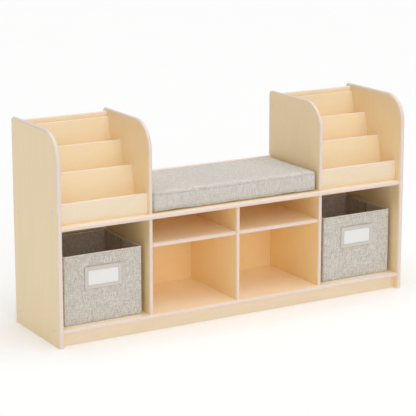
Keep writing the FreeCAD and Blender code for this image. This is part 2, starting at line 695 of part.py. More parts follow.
pieces = build_carcass()
build_shelves(pieces)
build_seat_rail(pieces)
for hand in ("left", "right"):
    build_tower(pieces, hand)
join_ends(pieces)
join_carcass(pieces)
join_shelves(pieces)
join_back(pieces)
for hand in ("left", "right"):
    join_display(pieces, hand)
build_cushion()
for hand in ("left", "right"):
    build_bin(hand)
group("assembly_screws", screws)
group("screw_caps", caps)
group("dowels", dowels)
group("display_pins", pins)
group("back_screws", back_screws)
doc.recompute()
check_document()
write_nodes()
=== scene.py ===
import math
import random

import bpy
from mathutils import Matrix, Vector
from mathutils.bvhtree import BVHTree
from mathutils.kdtree import KDTree


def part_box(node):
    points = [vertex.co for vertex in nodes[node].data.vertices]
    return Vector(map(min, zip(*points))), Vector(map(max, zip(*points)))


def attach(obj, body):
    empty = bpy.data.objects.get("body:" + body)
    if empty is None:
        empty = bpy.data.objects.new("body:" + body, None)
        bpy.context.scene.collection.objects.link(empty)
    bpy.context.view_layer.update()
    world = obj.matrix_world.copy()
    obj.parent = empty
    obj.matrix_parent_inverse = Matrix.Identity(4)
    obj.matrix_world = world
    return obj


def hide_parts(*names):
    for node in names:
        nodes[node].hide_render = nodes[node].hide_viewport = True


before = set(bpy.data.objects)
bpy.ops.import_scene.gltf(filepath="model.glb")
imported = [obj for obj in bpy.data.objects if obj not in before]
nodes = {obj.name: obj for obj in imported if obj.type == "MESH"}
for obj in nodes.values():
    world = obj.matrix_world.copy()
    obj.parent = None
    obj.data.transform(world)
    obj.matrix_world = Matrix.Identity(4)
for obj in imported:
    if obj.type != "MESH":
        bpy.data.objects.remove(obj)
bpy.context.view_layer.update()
scene = bpy.context.scene

MM = 0.001
HANDS = ("left", "right")
ROWS = ("front", "middle", "rear")
DISPLAY_LEAN = math.radians(12)


# ---------------------------------------------------------------- camera, light and floor

def make_camera():
    data = bpy.data.cameras.new("camera")
    data.sensor_width = 36
    data.lens = 140.3
    data.shift_y = -0.1
    camera = bpy.data.objects.new("camera", data)
    camera.location = (-2.498, -4.191, 1.506)
    camera.rotation_euler = (math.radians(90 - 12.3), 0, math.radians(-30.54))
    scene.collection.objects.link(camera)
    scene.camera = camera


def soft_sun(name, source, irradiance, spread, colour):
    """A wide softbox, far enough away to light everything evenly."""
    data = bpy.data.lights.new(name, "SUN")
    data.energy = irradiance * math.pi
    data.angle = math.radians(spread)
    data.color = colour
    light = bpy.data.objects.new(name, data)
    light.rotation_euler = Vector(source).to_track_quat("Z", "Y").to_euler()
    scene.collection.objects.link(light)


def make_world(strength):
    """An even white surround, which the camera itself sees as a plain white backdrop."""
    world = bpy.data.worlds.new("studio")
    world.use_nodes = True
    tree = world.node_tree
    surround = tree.nodes["Background"]
    surround.inputs["Strength"].default_value = strength
    backdrop = tree.nodes.new("ShaderNodeBackground")
    rays = tree.nodes.new("ShaderNodeLightPath")
    choice = tree.nodes.new("ShaderNodeMixShader")
    for background in (surround, backdrop):
        background.inputs["Color"].default_value = (1, 1, 1, 1)
    tree.links.new(rays.outputs["Is Camera Ray"], choice.inputs[0])
    tree.links.new(surround.outputs[0], choice.inputs[1])
    tree.links.new(backdrop.outputs[0], choice.inputs[2])
    tree.links.new(choice.outputs[0], tree.nodes["World Output"].inputs["Surface"])
    scene.world = world


def make_studio():
    make_world(0.345)
    soft_sun("overhead", (0.05, -0.10, 1.0), 0.62, 70, (1.0, 1.0, 1.0))
    soft_sun("front", (-0.16, -1.0, 0.42), 0.24, 45, (1.0, 0.99, 0.97))
    scene.view_settings.view_transform = "Standard"
    scene.view_settings.look = "None"
    scene.cycles.diffuse_bounces = 12
    scene.cycles.max_bounces = 16


def make_floor():
    mesh = bpy.data.meshes.new("floor")
    half = 40.0
    corners = [(-half, -half, 0), (half, -half, 0), (half, half, 0), (-half, half, 0)]
    mesh.from_pydata(corners, [], [(0, 1, 2, 3)])
    floor = bpy.data.objects.new("floor", mesh)
    scene.collection.objects.link(floor)
    paint = Shade("studio_floor", roughness=0.8)
    mottle = paint.noise(paint.place, 3.0, 3)
    paint.colour(paint.blend(mottle, (0.955, 0.955, 0.955), (0.97, 0.97, 0.97)))
    mesh.materials.append(paint.material)


# ---------------------------------------------------------------- material building

class Shade:
    """One material and the few node patterns that the surfaces here are made from."""

    def __init__(self, name, roughness=0.5, coat=0.0, coat_roughness=0.3, sheen=0.0, specular=0.5):
        self.material = bpy.data.materials.new(name)
        self.material.use_nodes = True
        self.tree = self.material.node_tree
        self.surface = self.tree.nodes["Principled BSDF"]
        self.surface.inputs["Roughness"].default_value = roughness
        self.surface.inputs["Coat Weight"].default_value = coat
        self.surface.inputs["Coat Roughness"].default_value = coat_roughness
        self.surface.inputs["Sheen Weight"].default_value = sheen
        self.surface.inputs["Sheen Roughness"].default_value = 0.6
        self.surface.inputs["Specular IOR Level"].default_value = specular
        texture = self.tree.nodes.new("ShaderNodeTexCoord")
        self.place = texture.outputs["Object"]
        self.normal = texture.outputs["Normal"]

    def put(self, value, socket):
        if isinstance(value, bpy.types.NodeSocket):
            self.tree.links.new(value, socket)
        elif isinstance(value, (tuple, list)) and socket.type == "RGBA":
            socket.default_value = (*value, 1)
        else:
            socket.default_value = value

    def maths(self, operation, first, second=0.0, third=0.0):
        node = self.tree.nodes.new("ShaderNodeMath")
        node.operation = operation
        for socket, value in zip(node.inputs, (first, second, third)):
            self.put(value, socket)
        return node.outputs[0]

    def product(self, first, second):
        return self.maths("MULTIPLY", first, second)

    def ratio(self, first, second):
        return self.maths("DIVIDE", first, second)

    def dot(self, vector, direction):
        node = self.tree.nodes.new("ShaderNodeVectorMath")
        node.operation = "DOT_PRODUCT"
        self.put(vector, node.inputs[0])
        node.inputs[1].default_value = direction
        return node.outputs["Value"]

    def join(self, x, y, z=0.0):
        node = self.tree.nodes.new("ShaderNodeCombineXYZ")
        for socket, value in zip(node.inputs, (x, y, z)):
            self.put(value, socket)
        return node.outputs[0]

    def noise(self, vector, scale, detail=2.0, roughness=0.5, distortion=0.0):
        node = self.tree.nodes.new("ShaderNodeTexNoise")
        self.put(vector, node.inputs["Vector"])
        node.inputs["Scale"].default_value = scale
        node.inputs["Detail"].default_value = detail
        node.inputs["Roughness"].default_value = roughness
        node.inputs["Distortion"].default_value = distortion
        return node.outputs["Fac"]

    def step(self, value, low, high, start=0.0, end=1.0):
        """start below low, end above high, and smooth in between."""
        node = self.tree.nodes.new("ShaderNodeMapRange")
        node.interpolation_type = "SMOOTHSTEP"
        for socket, number in zip(node.inputs, (value, low, high, start, end)):
            self.put(number, socket)
        return node.outputs[0]

    def blend(self, share, first, second):
        node = self.tree.nodes.new("ShaderNodeMix")
        node.data_type = "RGBA"
        sockets = [socket for socket in node.inputs if socket.type == "RGBA"]
        self.put(share, node.inputs[0])
        self.put(first, sockets[0])
        self.put(second, sockets[1])
        return next(socket for socket in node.outputs if socket.type == "RGBA")

    def tint(self, colour, amount):
        """colour multiplied by a number."""
        node = self.tree.nodes.new("ShaderNodeVectorMath")
        node.operation = "SCALE"
        self.put(colour, node.inputs[0])
        self.put(amount, node.inputs["Scale"])
        return node.outputs[0]

    def colour(self, value):
        self.put(value, self.surface.inputs["Base Color"])

    def roughness(self, value):
        self.put(value, self.surface.inputs["Roughness"])

    def bump(self, height, distance, strength=1.0):
        node = self.tree.nodes.new("ShaderNodeBump")
        node.inputs["Strength"].default_value = strength
        node.inputs["Distance"].default_value = distance
        self.put(height, node.inputs["Height"])
        self.put(node.outputs[0], self.surface.inputs["Normal"])


def set_material(piece, material):
    piece.data.materials.clear()
    piece.data.materials.append(material)


# ---------------------------------------------------------------- plywood

# light and dark of the veneer, by the kind of board. The kinds differ only as painted light: one birch veneer
# made greyer on the lit front rails, paler and greyer on the shelf tops, and more orange on the dividers and
# lower back in the shaded cubbies.
RAIL_FACE_WITH_PAINTED_LIGHT = (0.860, 0.725, 0.545), (0.825, 0.670, 0.460)
DISPLAY_FACE_WITH_PAINTED_LIGHT = (0.895, 0.740, 0.450), (0.860, 0.690, 0.385)
PANEL_FACE_WITH_PAINTED_LIGHT = (0.935, 0.757, 0.478), (0.905, 0.702, 0.403)
DIVIDER_FACE_WITH_PAINTED_LIGHT = (0.960, 0.775, 0.462), (0.935, 0.731, 0.384)
LEVEL_FACE_WITH_PAINTED_LIGHT = (0.980, 0.865, 0.700), (0.960, 0.820, 0.610)
PLY_LONG = (0.88, 0.745, 0.670)
PLY_END = (0.77, 0.630, 0.555)


def board_axes(thickness, grain):
    """The directions across the thickness, along the grain and across the grain."""
    through, along = Vector(thickness), Vector(grain)
    return through, along, through.cross(along)


def plywood(name, thickness, grain, middle, depth, plies, veneer_and_painted_light):
    """Clear-lacquered birch plywood: veneer figure on its faces, plies along its rounded edges."""
    through, along, across = board_axes(thickness, grain)
    shade = Shade(name, roughness=0.42, coat=0.22, coat_roughness=0.30, specular=0.6)
    seed = random.Random(name).uniform(-40, 40)
    deep = shade.maths("SUBTRACT", shade.dot(shade.place, through), through.dot(middle))
    length = shade.maths("ADD", shade.dot(shade.place, along), seed)
    width = shade.dot(shade.place, across)

    # veneer: slow bands from the rotary cut, fine fibres and short pores
    slow = shade.noise(shade.join(shade.product(width, 5.5), shade.product(length, 0.9),
                                  shade.product(deep, 3.0)), 1.0, 3, 0.55, 0.6)
    rings = shade.maths("SINE", shade.product(slow, 58.0))
    fibres = shade.noise(shade.join(shade.product(width, 620.0), shade.product(length, 9.0)),
                         1.0, 3, 0.6)
    pores = shade.noise(shade.join(shade.product(width, 1900.0), shade.product(length, 75.0)),
                        1.0, 1)
    patches = shade.noise(shade.join(shade.product(width, 2.4), shade.product(length, 1.5)),
                          1.0, 2)
    figure = shade.maths("MULTIPLY_ADD", rings, 0.055, shade.product(patches, 0.62))
    figure = shade.maths("MULTIPLY_ADD", fibres, 0.52, figure)
    share = shade.step(figure, 0.30, 0.86)
    # painted light: the veneer tones passed in differ by board kind, standing in for the light and shade each
    # board gets
    face = shade.blend(share, *veneer_and_painted_light)
    face = shade.tint(face, shade.step(pores, 0.60, 0.80, 1.0, 0.86))

    # edge: plies in turn along and across the grain, with thin dark glue lines
    ply = depth / plies
    count = shade.ratio(shade.maths("ADD", deep, depth / 2), ply)
    turn = shade.maths("PINGPONG", count, 1.0)
    fuzz = shade.noise(shade.join(shade.product(length, 260.0), shade.product(width, 260.0),
                                  shade.product(deep, 2600.0)), 1.0, 2, 0.6)
    layers = shade.blend(shade.step(turn, 0.35, 0.65), PLY_LONG, PLY_END)
    layers = shade.tint(layers, shade.step(fuzz, 0.25, 0.75, 0.93, 1.06))
    within = shade.maths("FRACT", shade.maths("ADD", count, 0.5))
    parting = shade.maths("ABSOLUTE", shade.maths("SUBTRACT", within, 0.5))
    layers = shade.tint(layers, shade.step(parting, 0.02, 0.10, 0.84, 1.0))

    inside = shade.maths("ABSOLUTE", deep)
    edge = shade.step(inside, depth / 2 - 0.55 * MM, depth / 2 - 0.25 * MM, 1.0, 0.0)
    shade.colour(shade.blend(edge, face, layers))
    shade.roughness(shade.blend(edge, (0.40, 0.40, 0.40), (0.56, 0.56, 0.56)))
    relief = shade.maths("MULTIPLY_ADD", fibres, 0.7, shade.product(pores, -0.5))
    relief = shade.maths("MULTIPLY_ADD", shade.product(parting, edge), 2.2, relief)
    shade.bump(relief, 0.00009)
    return shade.material


def finish_boards():
    """Every board gets its own piece of plywood, so that no two show the same figure."""
    ends = [f"{hand}_{name}" for hand in HANDS for name in ("end_panel", "tower_side")]
    dividers = ["left_divider", "centre_divider", "right_divider"]
    level = [f"{hand}_{name}" for hand in HANDS for name in ("half_shelf", "middle_ledge", "rear_ledge")]
    level.append("bottom_board")
    backs = ["left_tower_back", "right_tower_back", "bench_back_rail", "rear_plinth"]
    rails = ["left_front_rail", "right_front_rail", "front_plinth"]
    x, y, z = (1, 0, 0), (0, 1, 0), (0, 0, 1)
    # each kind of board gets its own veneer tones, which are painted light and not a different wood
    for names, thickness, grain, veneer_and_painted_light in ((ends, x, z, PANEL_FACE_WITH_PAINTED_LIGHT), (dividers, x, z, DIVIDER_FACE_WITH_PAINTED_LIGHT),
                                            (level, z, x, LEVEL_FACE_WITH_PAINTED_LIGHT), (["bench_board"], z, x, PANEL_FACE_WITH_PAINTED_LIGHT),
                                            (backs, y, x, PANEL_FACE_WITH_PAINTED_LIGHT), (["lower_back"], y, x, DIVIDER_FACE_WITH_PAINTED_LIGHT),
                                            (rails, y, x, RAIL_FACE_WITH_PAINTED_LIGHT)):
        for name in names:
            low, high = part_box(name)
            depth = (high - low).dot(Vector(thickness))
            plies = 2 * round(depth / (2.6 * MM)) + 1
            set_material(nodes[name], plywood(name, thickness, grain, (low + high) / 2, depth, plies, veneer_and_painted_light))
    lean = (0, math.cos(DISPLAY_LEAN), -math.sin(DISPLAY_LEAN))
    for hand in HANDS:
        for row in ROWS:
            name = f"{hand}_{row}_display"
            low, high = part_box(name)
            set_material(nodes[name], plywood(name, lean, x, (low + high) / 2, 6 * MM, 5, DISPLAY_FACE_WITH_PAINTED_LIGHT))


def finish_fasteners():
    cap = Shade("cap_plastic", roughness=0.45, specular=0.4)
    grain = cap.noise(cap.place, 900.0, 2)
    cap.colour(cap.blend(grain, (0.79, 0.69, 0.575), (0.83, 0.725, 0.605)))
    cap.bump(grain, 0.00005)
    set_material(nodes["screw_caps"], cap.material)
    steel = Shade("zinc_steel", roughness=0.32)
    steel.surface.inputs["Metallic"].default_value = 1.0
    wear = steel.noise(steel.place, 600.0, 4, 0.6)
    steel.colour(steel.blend(wear, (0.62, 0.63, 0.64), (0.76, 0.77, 0.78)))
    steel.roughness(steel.step(wear, 0.3, 0.7, 0.26, 0.44))
    for name in ("assembly_screws", "back_screws"):
        set_material(nodes[name], steel.material)
    beech = Shade("beech_dowel", roughness=0.6)
    fleck = beech.noise(beech.place, 1400.0, 3, 0.6)
    beech.colour(beech.blend(fleck, (0.70, 0.52, 0.34), (0.58, 0.40, 0.24)))
    beech.bump(fleck, 0.00008)
    for name in ("dowels", "display_pins"):
        set_material(nodes[name], beech.material)


# ---------------------------------------------------------------- woven cloth

def cloth(name, warp_colours, weft_colours, pitch, slub, upright=1.0, clump=(0.9, 1.08), depth=0.00022):
    """A plain weave with slubbed threads. The two thread directions follow whichever way a surface faces."""
    shade = Shade(name, roughness=0.88, sheen=0.15, specular=0.2)
    across, level = shade.dot(shade.normal, (1, 0, 0)), shade.dot(shade.normal, (0, 0, 1))
    sideways = shade.step(shade.maths("ABSOLUTE", across), 0.69, 0.72)
    upward = shade.step(shade.maths("ABSOLUTE", level), 0.69, 0.72)
    x, y, z = (shade.dot(shade.place, axis) for axis in ((1, 0, 0), (0, 1, 0), (0, 0, 1)))
    u = shade.maths("MULTIPLY_ADD", sideways, shade.maths("SUBTRACT", y, x), x)
    v = shade.maths("MULTIPLY_ADD", upward, shade.maths("SUBTRACT", y, z), z)

    def threads(beside, along, other):
        """Height over one set of threads, a tone that changes along each thread, and the count."""
        wander = shade.product(shade.noise(shade.join(along, beside, other), 55.0, 2), 0.9 * pitch)
        counted = shade.ratio(shade.maths("ADD", beside, wander), pitch)
        crown = shade.maths("PINGPONG", counted, 0.5)
        thread = shade.maths("FLOOR", counted)
        lengthwise = shade.join(shade.product(thread, 7.31), shade.ratio(along, slub), other)
        tone = shade.noise(lengthwise, 1.0, 3, 0.65)
        return shade.product(crown, 2.0), tone, counted

    warp_crown, warp_tone, warp_count = threads(u, v, y)
    weft_crown, weft_tone, weft_count = threads(v, u, x)
    parity = shade.maths("PINGPONG", shade.maths("ADD", shade.maths("FLOOR", warp_count),
                                                 shade.maths("FLOOR", weft_count)), 1.0)
    thick = shade.step(warp_tone, 0.35, 0.70)
    over = shade.step(shade.maths("ADD", parity, shade.product(thick, 0.55 * upright)), 0.35, 0.85)
    warp = shade.blend(shade.step(warp_tone, 0.36, 0.62), *warp_colours)
    weft = shade.blend(shade.step(weft_tone, 0.36, 0.62), *weft_colours)
    colour = shade.blend(over, weft, warp)
    crown = shade.maths("MULTIPLY_ADD", over, shade.maths("SUBTRACT", warp_crown, weft_crown), weft_crown)
    # painted shade and highlight: the colour is darkened in the hollows between the threads and lightened on
    # their crowns
    colour = shade.tint(colour, shade.step(crown, 0.0, 0.6, 0.74, 1.04))
    narrow, long = 1.7 * MM, 17 * MM
    streaks = shade.noise(shade.join(shade.ratio(u, narrow), shade.ratio(v, long)), 1.0, 2)
    bars = shade.noise(shade.join(shade.ratio(u, long), shade.ratio(v, narrow)), 1.0, 2)
    crosswise = shade.product(bars, 0.5 - 0.3 * upright)
    mottle = shade.maths("MULTIPLY_ADD", streaks, 0.5 + 0.3 * upright, crosswise)
    colour = shade.tint(colour, shade.step(mottle, 0.36, 0.64, *clump))
    shade.colour(colour)
    lift = shade.maths("MULTIPLY_ADD", thick, 0.4, crown)
    shade.bump(lift, depth)
    return shade.material


def make_cloths():
    return {
        "cushion": cloth("cushion_linen", ((0.80, 0.765, 0.71), (0.53, 0.495, 0.445)),
                         ((0.84, 0.805, 0.75), (0.64, 0.60, 0.55)), 0.9 * MM, 22 * MM, 0.3, (0.88, 1.10)),
        "bin": cloth("bin_linen", ((0.90, 0.86, 0.795), (0.47, 0.43, 0.38)),
                     ((0.91, 0.87, 0.805), (0.58, 0.54, 0.485)), 1.0 * MM, 20 * MM, 1.0,
                     (0.90, 1.08), 0.0003),
        # the lining's darker, browner tones are partly its own colour and partly painted shade of the bin's
        # inside
        "lining_painted_shade": cloth("bin_lining", ((0.78, 0.68, 0.59), (0.38, 0.315, 0.255)),
                        ((0.78, 0.68, 0.59), (0.47, 0.395, 0.325)), 1.0 * MM, 16 * MM, 1.0),
        "binding": cloth("bin_binding", ((0.92, 0.87, 0.79), (0.66, 0.61, 0.54)),
                         ((0.92, 0.87, 0.79), (0.68, 0.63, 0.56)), 0.8 * MM, 9 * MM, 0.5),
    }


def thread_material(name, colour):
    shade = Shade(name, roughness=0.7, sheen=0.2, specular=0.3)
    twist = shade.noise(shade.place, 2600.0, 2)
    shade.colour(shade.tint(colour, shade.step(twist, 0.3, 0.7, 0.85, 1.1)))
    shade.bump(twist, 0.0001)
    return shade.material


# ---------------------------------------------------------------- mesh building

def new_piece(name, points, faces, material, smooth=True):
    mesh = bpy.data.meshes.new(name)
    mesh.from_pydata([tuple(point) for point in points], [], faces)
    mesh.update()
    piece = bpy.data.objects.new(name, mesh)
    scene.collection.objects.link(piece)
    mesh.materials.append(material)
    if smooth:
        mesh.polygons.foreach_set("use_smooth", [True] * len(mesh.polygons))
    return piece


def apply_modifiers(piece):
    depsgraph = bpy.context.evaluated_depsgraph_get()
    mesh = bpy.data.meshes.new_from_object(piece.evaluated_get(depsgraph))
    piece.modifiers.clear()
    piece.data = mesh


def rounded_outline(low, high, radius, corner_steps, side_step):
    """Points (x, y, outward x, outward y) round a rectangle with rounded corners, anticlockwise."""
    outline = []
    corners = ((high[0] - radius, low[1] + radius, -90), (high[0] - radius, high[1] - radius, 0),
               (low[0] + radius, high[1] - radius, 90), (low[0] + radius, low[1] + radius, 180))
    for index, (cx, cy, start) in enumerate(corners):
        for step in range(corner_steps + 1):
            angle = math.radians(start + 90 * step / corner_steps)
            outline.append((cx + radius * math.cos(angle), cy + radius * math.sin(angle),
                            math.cos(angle), math.sin(angle)))
        next_x, next_y, _ = corners[(index + 1) % 4]
        angle = math.radians(start + 90)
        normal = (math.cos(angle), math.sin(angle))
        first = Vector((cx + radius * normal[0], cy + radius * normal[1]))
        last = Vector((next_x + radius * normal[0], next_y + radius * normal[1]))
        count = max(2, round((last - first).length / side_step))
        for step in range(1, count):
            point = first.lerp(last, step / count)
            outline.append((point.x, point.y, *normal))
    return outline


def tube(name, path, radius, material, sides=8, closed=True):
    """A round cord along a path of points."""
    points, faces = [], []
    count = len(path)
    for index, point in enumerate(path):
        ahead = path[(index + 1) % count] if closed or index < count - 1 else point
        behind = path[index - 1] if closed or index else point
        along = (ahead - behind).normalized()
        side = along.cross(Vector((0, 0, 1)))
        side = Vector((1, 0, 0)) if side.length < 1e-6 else side.normalized()
        up = side.cross(along)
        for turn in range(sides):
            angle = 2 * math.pi * turn / sides
            points.append(point + radius * (math.cos(angle) * side + math.sin(angle) * up))
    rings = count if closed else count - 1
    for ring in range(rings):
        for turn in range(sides):
            here, there = ring * sides, (ring + 1) % count * sides
            nxt = (turn + 1) % sides
            faces.append((here + turn, here + nxt, there + nxt, there + turn))
    if not closed:
        faces.append(tuple(range(sides)))
        faces.append(tuple(reversed(range((count - 1) * sides, count * sides))))
    return new_piece(name, points, faces, material)


def add_stitch(points, faces, centre, along, outward, length, width):
    """One stitch: a low six-sided mound that dips into the cloth at its ends."""
    across = along.cross(outward)
    base = len(points)
    for share, size in ((-0.5, 0.25), (-0.3, 1.0), (0.3, 1.0), (0.5, 0.25)):
        middle = centre + along * (length * share)
        lift = outward * (width * 0.55 * size)
        for spread, rise in ((-1.0, -0.2), (-0.6, 0.9), (0.6, 0.9), (1.0, -0.2)):
            points.append(middle + across * (width * 0.5 * size * spread) + lift * rise)
    for ring in range(3):
        for side in range(4):
            here, nxt = base + ring * 4, (side + 1) % 4
            faces.append((here + side, here + nxt, here + 4 + nxt, here + 4 + side))
    faces.append((base + 3, base + 2, base + 1, base))
    faces.append((base + 12, base + 13, base + 14, base + 15))


# ---------------------------------------------------------------- cushion

def soft_limit(offset, sideways, upward):
    """offset shortened smoothly so that it never passes its two limits."""
    return Vector((sideways * math.tanh(offset.x / sideways), sideways * math.tanh(offset.y / sideways),
                   upward * math.tanh(offset.z / upward)))


def inflate(piece, pressure, sideways, upward):
    """Blows the piece up as a sewn cover, with its foot held flat."""
    start = [vertex.co.copy() for vertex in piece.data.vertices]
    sim = piece.modifiers.new("cloth", "CLOTH")
    settings = sim.settings
    settings.quality = 5
    settings.mass = 0.3
    settings.tension_stiffness = settings.compression_stiffness = 30
    settings.shear_stiffness = 10
    settings.bending_stiffness = 2
    settings.use_pressure = True
    settings.uniform_pressure_force = pressure
    settings.effector_weights.gravity = 0
    sim.point_cache.frame_start, sim.point_cache.frame_end = 1, 20
    scene.frame_start, scene.frame_end = 1, 20
    for number in range(1, 21):
        scene.frame_set(number)
    apply_modifiers(piece)
    scene.frame_set(1)
    floor = min(point.z for point in start)
    for vertex, before in zip(piece.data.vertices, start):
        moved = before + soft_limit(vertex.co - before, sideways, upward)
        moved.z = max(moved.z, floor)
        vertex.co = moved


def round_box(name, low, high, radius, edge, material):
    """A closed box with rounded upright corners and softly rounded top and bottom edges."""
    outline = rounded_outline((0, 0), (high.x - low.x, high.y - low.y), radius, 6, 0.02)
    middle = Vector(((low.x + high.x) / 2, (low.y + high.y) / 2, 0))
    half = Vector(((high.x - low.x) / 2, (high.y - low.y) / 2))
    points, faces = [], []
    levels = [(low.z + edge * (1 - math.cos(a)), edge * (1 - math.sin(a)))
              for a in (math.radians(15 * step) for step in range(7))]
    levels += [(high.z - (z - low.z), inset) for z, inset in reversed(levels)]
    for z, inset in levels:
        for x, y, out_x, out_y in outline:
            points.append(middle + Vector((x - half.x - out_x * inset, y - half.y - out_y * inset, z)))
    count = len(outline)
    for level in range(len(levels) - 1):
        for index in range(count):
            here, there, nxt = level * count, (level + 1) * count, (index + 1) % count
            faces.append((here + index, here + nxt, there + nxt, there + index))
    faces.append(tuple(reversed(range(count))))
    faces.append(tuple(range((len(levels) - 1) * count, len(levels) * count)))
    return new_piece(name, points, faces, material)


def surface_point(tree, point, outward):
    """Where a line from outside towards the piece's middle meets its cover."""
    found, _, _, _ = tree.ray_cast(point + outward * 0.03, -outward, 0.08)
    return found or point


def seam_path(cushion, share):
    """The line round the cover where its top or bottom panel is sewn to the boxing."""
    tree = BVHTree.FromObject(cushion, bpy.context.evaluated_depsgraph_get())
    low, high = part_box("cushion")
    level = low.z + share * (high.z - low.z)
    slant = 0.9 if share > 0.5 else -0.9
    path = []
    for x, y, out_x, out_y in rounded_outline(low, high, 12 * MM, 8, 5 * MM):
        outward = Vector((out_x, out_y, slant)).normalized()
        path.append(surface_point(tree, Vector((x, y, level)), outward))
    for _ in range(4):
        path = [(path[i - 1] + path[i] * 2 + path[(i + 1) % len(path)]) / 4 for i in range(len(path))]
    return path


def pull_in(cushion, path, depth, reach):
    """Draws the cover in along a seam."""
    tree = KDTree(len(path))
    for index, point in enumerate(path):
        tree.insert(point, index)
    tree.balance()
    normals = [vertex.normal.copy() for vertex in cushion.data.vertices]
    for vertex, normal in zip(cushion.data.vertices, normals):
        _, _, distance = tree.find(vertex.co)
        if distance < 3 * reach:
            vertex.co -= normal * (depth * math.exp(-(distance / reach) ** 2))


def make_cushion(cloths):
    low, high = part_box("cushion")
    shrink = Vector((1.5, 1.5, 0)) * MM
    headroom = Vector((0, 0, 2.0 * MM))
    cushion = round_box("cushion_cover", low + shrink, high - shrink - headroom, 10 * MM, 3.5 * MM,
                        cloths["cushion"])
    remesh = cushion.modifiers.new("remesh", "REMESH")
    remesh.mode = "VOXEL"
    remesh.voxel_size = 0.005
    apply_modifiers(cushion)
    inflate(cushion, 4.0, 1.8 * MM, 3.5 * MM)
    smooth = cushion.modifiers.new("smooth", "CORRECTIVE_SMOOTH")
    smooth.iterations = 2
    smooth.use_only_smooth = True
    fine = cushion.modifiers.new("fine", "SUBSURF")
    fine.levels = fine.render_levels = 1
    apply_modifiers(cushion)
    cushion.data.polygons.foreach_set("use_smooth", [True] * len(cushion.data.polygons))
    set_material(cushion, cloths["cushion"])
    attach(cushion, "cushion")
    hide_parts("cushion")
    for name, share in (("cushion_top_seam", 0.94), ("cushion_bottom_seam", 0.06)):
        path = seam_path(cushion, share)
        pull_in(cushion, path, 1.6 * MM, 3.0 * MM)
        seam = tube(name, path, 1.3 * MM, cloths["cushion"])
        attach(seam, "cushion")


# ---------------------------------------------------------------- bins

WALL = 3 * MM
BIN_CORNER = 5 * MM
FOLD_DEPTH, FOLD_WIDTH = 2.2 * MM, 1.8 * MM
SAG = 1.3 * MM


def wall_offset(along, height, depth, fold):
    """How far a bin wall stands in from its box: a slight sag between its corners, and its fold."""
    sag = SAG * math.sin(math.pi * along) * (0.35 + 0.65 * height)
    if not fold:
        return sag
    return sag + FOLD_DEPTH * math.exp(-(((along - 0.5) * depth) / FOLD_WIDTH) ** 2) * min(1.0, height * 6)


def wall_inset(low, span, place, height):
    """wall_offset at one point of a bin's outline, and nothing round its corners."""
    x, y, out_x, out_y = place
    if max(abs(out_x), abs(out_y)) <= 0.99:
        return 0.0
    along = (y - low.y) / span.y if abs(out_x) > abs(out_y) else (x - low.x) / span.x
    return wall_offset(along, height, span.y, abs(out_x) > 0.99)


def bin_skin(low, high, outline, levels, inset_by):
    """Rings of points up a bin's wall, moved in from its box."""
    span = high - low
    rings = []
    for z in levels:
        ring = []
        for place in outline:
            x, y, out_x, out_y = place
            inward = inset_by + wall_inset(low, span, place, (z - low.z) / span.z)
            ring.append(Vector((x - out_x * inward, y - out_y * inward, z)))
        rings.append(ring)
    return rings


def skin_faces(rings, points, faces, slots, slot, inside):
    base, count = len(points), len(rings[0])
    for ring in rings:
        points.extend(ring)
    for level in range(len(rings) - 1):
        for index in range(count):
            here, there, nxt = base + level * count, base + (level + 1) * count, (index + 1) % count
            face = (here + index, here + nxt, there + nxt, there + index)
            faces.append(tuple(reversed(face)) if inside else face)
            slots.append(slot)
    return base, base + (len(rings) - 1) * count


def bin_shell(name, node, cloths):
    """Outside and lining of a bin, joined over its rim, with a flat floor."""
    low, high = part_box(node)
    outline = rounded_outline(low, high, BIN_CORNER, 5, 2.4 * MM)
    count = len(outline)
    rise = high.z - low.z
    foot = low.z + 0.2 * MM
    outer_levels = [foot] + [foot + 2 * MM + step * (rise - 3 * MM) / 30 for step in range(31)]
    inner_floor = low.z + 2 * MM
    inner_levels = [inner_floor + step * (high.z - 1 * MM - inner_floor) / 30 for step in range(31)]
    outer = bin_skin(low, high, outline, outer_levels, 0.0)
    outer[0] = [point - Vector((out_x, out_y, 0)) * 1.2 * MM
                for point, (_, _, out_x, out_y) in zip(outer[0], outline)]
    inner = bin_skin(low, high, outline, inner_levels, WALL)
    points, faces, slots = [], [], []
    outer_base, outer_rim = skin_faces(outer, points, faces, slots, 0, False)
    inner_base, inner_rim = skin_faces(inner, points, faces, slots, 1, True)
    for index in range(count):
        nxt = (index + 1) % count
        faces.append((outer_rim + index, outer_rim + nxt, inner_rim + nxt, inner_rim + index))
        slots.append(0)
    faces.append(tuple(reversed(range(outer_base, outer_base + count))))
    slots.append(0)
    faces.append(tuple(range(inner_base, inner_base + count)))
    slots.append(1)
    shell = new_piece(name, points, faces, cloths["bin"])
    shell.data.materials.append(cloths["lining_painted_shade"])
    shell.data.polygons.foreach_set("material_index", slots)
    return shell, outline, outer


def rim_binding(name, node, outline, material):
    """Corded binding sewn over the rim."""
    low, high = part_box(node)
    path = []
    for place in outline:
        x, y, out_x, out_y = place
        inward = WALL / 2 + wall_inset(low, high - low, place, 1.0)
        path.append(Vector((x - out_x * inward, y - out_y * inward, high.z - 1.1 * MM)))
    return tube(name, path, 2.1 * MM, material, sides=10)


